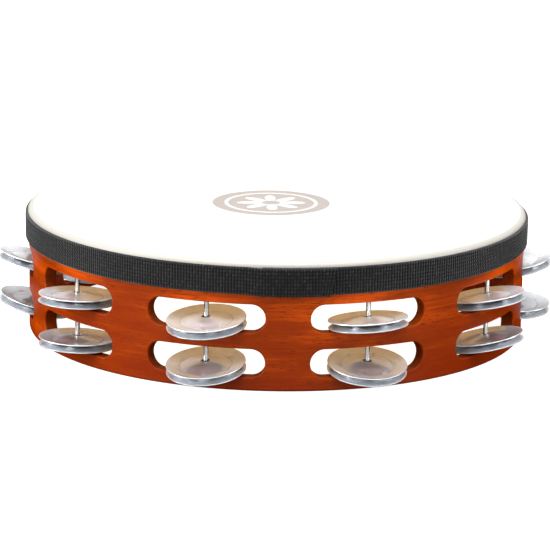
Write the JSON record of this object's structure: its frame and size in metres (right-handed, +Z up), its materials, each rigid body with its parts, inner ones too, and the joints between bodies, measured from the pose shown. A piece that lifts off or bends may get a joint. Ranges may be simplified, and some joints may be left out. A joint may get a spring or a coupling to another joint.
{
  "type": "tambourine",
  "caption": "Round headed tambourine: a slotted wooden shell with a white film head, a black woven band round its top, and rows of paired steel jingles that slide and clash on upright pins.",
  "frame": {"origin": "centre of the shell's open bottom edge, on the plane that the tambourine rests on", "axes": "+Z up along the shell's axis towards the head; -Y looks at the middle of the front, between two columns of jingles; +X to the right"},
  "size_m": [0.2855, 0.2736, 0.0625],
  "materials": {
    "shell_wood": "red-brown stained and lacquered hardwood, satin gloss",
    "head_film": "smooth off-white film, slightly glossy",
    "band_webbing": "black woven webbing, matte",
    "pin_steel": "bright drawn steel wire",
    "jingle_steel": "bright pressed and hammered steel sheet"
  },
  "bodies": {
    "frame": {"wood_shell": "shell_wood", "drum_head": "head_film", "webbing_band": "band_webbing", "pin_01": "pin_steel", "pin_02": "pin_steel", "pin_03": "pin_steel", "pin_04": "pin_steel", "pin_05": "pin_steel", "pin_06": "pin_steel", "pin_07": "pin_steel", "pin_08": "pin_steel", "pin_09": "pin_steel", "pin_10": "pin_steel"},
    "jingle_01_lower_bottom": {"jingle_01_lower_bottom": "jingle_steel"},
    "jingle_01_lower_top": {"jingle_01_lower_top": "jingle_steel"},
    "jingle_01_upper_bottom": {"jingle_01_upper_bottom": "jingle_steel"},
    "jingle_01_upper_top": {"jingle_01_upper_top": "jingle_steel"},
    "jingle_02_lower_bottom": {"jingle_02_lower_bottom": "jingle_steel"},
    "jingle_02_lower_top": {"jingle_02_lower_top": "jingle_steel"},
    "jingle_02_upper_bottom": {"jingle_02_upper_bottom": "jingle_steel"},
    "jingle_02_upper_top": {"jingle_02_upper_top": "jingle_steel"},
    "jingle_03_lower_bottom": {"jingle_03_lower_bottom": "jingle_steel"},
    "jingle_03_lower_top": {"jingle_03_lower_top": "jingle_steel"},
    "jingle_03_upper_bottom": {"jingle_03_upper_bottom": "jingle_steel"},
    "jingle_03_upper_top": {"jingle_03_upper_top": "jingle_steel"},
    "jingle_04_lower_bottom": {"jingle_04_lower_bottom": "jingle_steel"},
    "jingle_04_lower_top": {"jingle_04_lower_top": "jingle_steel"},
    "jingle_04_upper_bottom": {"jingle_04_upper_bottom": "jingle_steel"},
    "jingle_04_upper_top": {"jingle_04_upper_top": "jingle_steel"},
    "jingle_05_lower_bottom": {"jingle_05_lower_bottom": "jingle_steel"},
    "jingle_05_lower_top": {"jingle_05_lower_top": "jingle_steel"},
    "jingle_05_upper_bottom": {"jingle_05_upper_bottom": "jingle_steel"},
    "jingle_05_upper_top": {"jingle_05_upper_top": "jingle_steel"},
    "jingle_06_lower_bottom": {"jingle_06_lower_bottom": "jingle_steel"},
    "jingle_06_lower_top": {"jingle_06_lower_top": "jingle_steel"},
    "jingle_06_upper_bottom": {"jingle_06_upper_bottom": "jingle_steel"},
    "jingle_06_upper_top": {"jingle_06_upper_top": "jingle_steel"},
    "jingle_07_lower_bottom": {"jingle_07_lower_bottom": "jingle_steel"},
    "jingle_07_lower_top": {"jingle_07_lower_top": "jingle_steel"},
    "jingle_07_upper_bottom": {"jingle_07_upper_bottom": "jingle_steel"},
    "jingle_07_upper_top": {"jingle_07_upper_top": "jingle_steel"},
    "jingle_08_lower_bottom": {"jingle_08_lower_bottom": "jingle_steel"},
    "jingle_08_lower_top": {"jingle_08_lower_top": "jingle_steel"},
    "jingle_08_upper_bottom": {"jingle_08_upper_bottom": "jingle_steel"},
    "jingle_08_upper_top": {"jingle_08_upper_top": "jingle_steel"},
    "jingle_09_lower_bottom": {"jingle_09_lower_bottom": "jingle_steel"},
    "jingle_09_lower_top": {"jingle_09_lower_top": "jingle_steel"},
    "jingle_09_upper_bottom": {"jingle_09_upper_bottom": "jingle_steel"},
    "jingle_09_upper_top": {"jingle_09_upper_top": "jingle_steel"},
    "jingle_10_lower_bottom": {"jingle_10_lower_bottom": "jingle_steel"},
    "jingle_10_lower_top": {"jingle_10_lower_top": "jingle_steel"},
    "jingle_10_upper_bottom": {"jingle_10_upper_bottom": "jingle_steel"},
    "jingle_10_upper_top": {"jingle_10_upper_top": "jingle_steel"}
  },
  "joints": [
    {"name": "slide_01_lower_bottom", "type": "slide", "parent": "frame", "child": "jingle_01_lower_bottom", "axis": [0, 0, 1], "range_m": [0, 0.00335]},
    {"name": "slide_01_lower_top", "type": "slide", "parent": "jingle_01_lower_bottom", "child": "jingle_01_lower_top", "axis": [0, 0, 1], "range_m": [0, 0.00335]},
    {"name": "slide_01_upper_bottom", "type": "slide", "parent": "frame", "child": "jingle_01_upper_bottom", "axis": [0, 0, 1], "range_m": [0, 0.00335]},
    {"name": "slide_01_upper_top", "type": "slide", "parent": "jingle_01_upper_bottom", "child": "jingle_01_upper_top", "axis": [0, 0, 1], "range_m": [0, 0.00335]},
    {"name": "slide_02_lower_bottom", "type": "slide", "parent": "frame", "child": "jingle_02_lower_bottom", "axis": [0, 0, 1], "range_m": [0, 0.0029]},
    {"name": "slide_02_lower_top", "type": "slide", "parent": "jingle_02_lower_bottom", "child": "jingle_02_lower_top", "axis": [0, 0, 1], "range_m": [0, 0.0029]},
    {"name": "slide_02_upper_bottom", "type": "slide", "parent": "frame", "child": "jingle_02_upper_bottom", "axis": [0, 0, 1], "range_m": [0, 0.00325]},
    {"name": "slide_02_upper_top", "type": "slide", "parent": "jingle_02_upper_bottom", "child": "jingle_02_upper_top", "axis": [0, 0, 1], "range_m": [0, 0.00325]},
    {"name": "slide_03_lower_bottom", "type": "slide", "parent": "frame", "child": "jingle_03_lower_bottom", "axis": [0, 0, 1], "range_m": [0, 0.00355]},
    {"name": "slide_03_lower_top", "type": "slide", "parent": "jingle_03_lower_bottom", "child": "jingle_03_lower_top", "axis": [0, 0, 1], "range_m": [0, 0.00355]},
    {"name": "slide_03_upper_bottom", "type": "slide", "parent": "frame", "child": "jingle_03_upper_bottom", "axis": [0, 0, 1], "range_m": [0, 0.00315]},
    {"name": "slide_03_upper_top", "type": "slide", "parent": "jingle_03_upper_bottom", "child": "jingle_03_upper_top", "axis": [0, 0, 1], "range_m": [0, 0.00315]},
    {"name": "slide_04_lower_bottom", "type": "slide", "parent": "frame", "child": "jingle_04_lower_bottom", "axis": [0, 0, 1], "range_m": [0, 0.00355]},
    {"name": "slide_04_lower_top", "type": "slide", "parent": "jingle_04_lower_bottom", "child": "jingle_04_lower_top", "axis": [0, 0, 1], "range_m": [0, 0.00355]},
    {"name": "slide_04_upper_bottom", "type": "slide", "parent": "frame", "child": "jingle_04_upper_bottom", "axis": [0, 0, 1], "range_m": [0, 0.0034]},
    {"name": "slide_04_upper_top", "type": "slide", "parent": "jingle_04_upper_bottom", "child": "jingle_04_upper_top", "axis": [0, 0, 1], "range_m": [0, 0.0034]},
    {"name": "slide_05_lower_bottom", "type": "slide", "parent": "frame", "child": "jingle_05_lower_bottom", "axis": [0, 0, 1], "range_m": [0, 0.00355]},
    {"name": "slide_05_lower_top", "type": "slide", "parent": "jingle_05_lower_bottom", "child": "jingle_05_lower_top", "axis": [0, 0, 1], "range_m": [0, 0.00355]},
    {"name": "slide_05_upper_bottom", "type": "slide", "parent": "frame", "child": "jingle_05_upper_bottom", "axis": [0, 0, 1], "range_m": [0, 0.0034]},
    {"name": "slide_05_upper_top", "type": "slide", "parent": "jingle_05_upper_bottom", "child": "jingle_05_upper_top", "axis": [0, 0, 1], "range_m": [0, 0.0034]},
    {"name": "slide_06_lower_bottom", "type": "slide", "parent": "frame", "child": "jingle_06_lower_bottom", "axis": [0, 0, 1], "range_m": [0, 0.0033]},
    {"name": "slide_06_lower_top", "type": "slide", "parent": "jingle_06_lower_bottom", "child": "jingle_06_lower_top", "axis": [0, 0, 1], "range_m": [0, 0.0033]},
    {"name": "slide_06_upper_bottom", "type": "slide", "parent": "frame", "child": "jingle_06_upper_bottom", "axis": [0, 0, 1], "range_m": [0, 0.0035]},
    {"name": "slide_06_upper_top", "type": "slide", "parent": "jingle_06_upper_bottom", "child": "jingle_06_upper_top", "axis": [0, 0, 1], "range_m": [0, 0.0035]},
    {"name": "slide_07_lower_bottom", "type": "slide", "parent": "frame", "child": "jingle_07_lower_bottom", "axis": [0, 0, 1], "range_m": [0, 0.0034]},
    {"name": "slide_07_lower_top", "type": "slide", "parent": "jingle_07_lower_bottom", "child": "jingle_07_lower_top", "axis": [0, 0, 1], "range_m": [0, 0.0034]},
    {"name": "slide_07_upper_bottom", "type": "slide", "parent": "frame", "child": "jingle_07_upper_bottom", "axis": [0, 0, 1], "range_m": [0, 0.00355]},
    {"name": "slide_07_upper_top", "type": "slide", "parent": "jingle_07_upper_bottom", "child": "jingle_07_upper_top", "axis": [0, 0, 1], "range_m": [0, 0.00355]},
    {"name": "slide_08_lower_bottom", "type": "slide", "parent": "frame", "child": "jingle_08_lower_bottom", "axis": [0, 0, 1], "range_m": [0, 0.0031]},
    {"name": "slide_08_lower_top", "type": "slide", "parent": "jingle_08_lower_bottom", "child": "jingle_08_lower_top", "axis": [0, 0, 1], "range_m": [0, 0.0031]},
    {"name": "slide_08_upper_bottom", "type": "slide", "parent": "frame", "child": "jingle_08_upper_bottom", "axis": [0, 0, 1], "range_m": [0, 0.0028]},
    {"name": "slide_08_upper_top", "type": "slide", "parent": "jingle_08_upper_bottom", "child": "jingle_08_upper_top", "axis": [0, 0, 1], "range_m": [0, 0.0028]},
    {"name": "slide_09_lower_bottom", "type": "slide", "parent": "frame", "child": "jingle_09_lower_bottom", "axis": [0, 0, 1], "range_m": [0, 0.0036]},
    {"name": "slide_09_lower_top", "type": "slide", "parent": "jingle_09_lower_bottom", "child": "jingle_09_lower_top", "axis": [0, 0, 1], "range_m": [0, 0.0036]},
    {"name": "slide_09_upper_bottom", "type": "slide", "parent": "frame", "child": "jingle_09_upper_bottom", "axis": [0, 0, 1], "range_m": [0, 0.00355]},
    {"name": "slide_09_upper_top", "type": "slide", "parent": "jingle_09_upper_bottom", "child": "jingle_09_upper_top", "axis": [0, 0, 1], "range_m": [0, 0.00355]},
    {"name": "slide_10_lower_bottom", "type": "slide", "parent": "frame", "child": "jingle_10_lower_bottom", "axis": [0, 0, 1], "range_m": [0, 0.00315]},
    {"name": "slide_10_lower_top", "type": "slide", "parent": "jingle_10_lower_bottom", "child": "jingle_10_lower_top", "axis": [0, 0, 1], "range_m": [0, 0.00315]},
    {"name": "slide_10_upper_bottom", "type": "slide", "parent": "frame", "child": "jingle_10_upper_bottom", "axis": [0, 0, 1], "range_m": [0, 0.0033]},
    {"name": "slide_10_upper_top", "type": "slide", "parent": "jingle_10_upper_bottom", "child": "jingle_10_upper_top", "axis": [0, 0, 1], "range_m": [0, 0.0033]}
  ]
}
